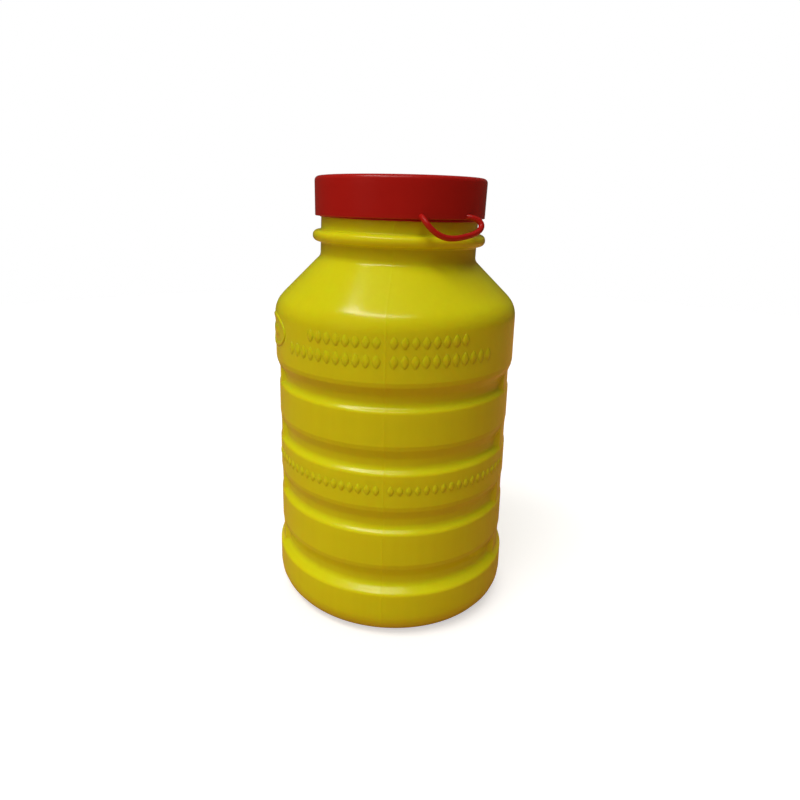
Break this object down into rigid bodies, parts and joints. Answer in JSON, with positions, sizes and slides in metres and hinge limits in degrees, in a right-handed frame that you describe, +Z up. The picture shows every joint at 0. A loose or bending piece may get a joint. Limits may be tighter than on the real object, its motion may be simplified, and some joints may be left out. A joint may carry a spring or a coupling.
{
  "type": "medical waste container",
  "caption": "Wide-mouth blown jar for used needles, with grooved body, sloping shoulder, neck ring, needle collar and a push-on cover with a moulded pull loop.",
  "frame": {"origin": "on the axis of the jar's body, in the plane that the foot stands on", "axes": "+Z up the jar, -Y the front with the mould seam, +X the side towards which the neck leans"},
  "size_m": [0.0968, 0.0968, 0.1699],
  "materials": {
    "jar": "satin blow-moulded polyethylene, warning yellow",
    "collar": "satin injection-moulded polyethylene, red",
    "cover": "satin injection-moulded polyethylene, red"
  },
  "bodies": {
    "container": {"jar": "jar", "collar": "collar"},
    "closure": {"cover": "cover"}
  },
  "joints": [
    {"name": "cover_lift", "type": "slide", "parent": "container", "child": "closure", "axis": [0, 0, 1], "range_m": [-0.0025, 0.03]}
  ]
}
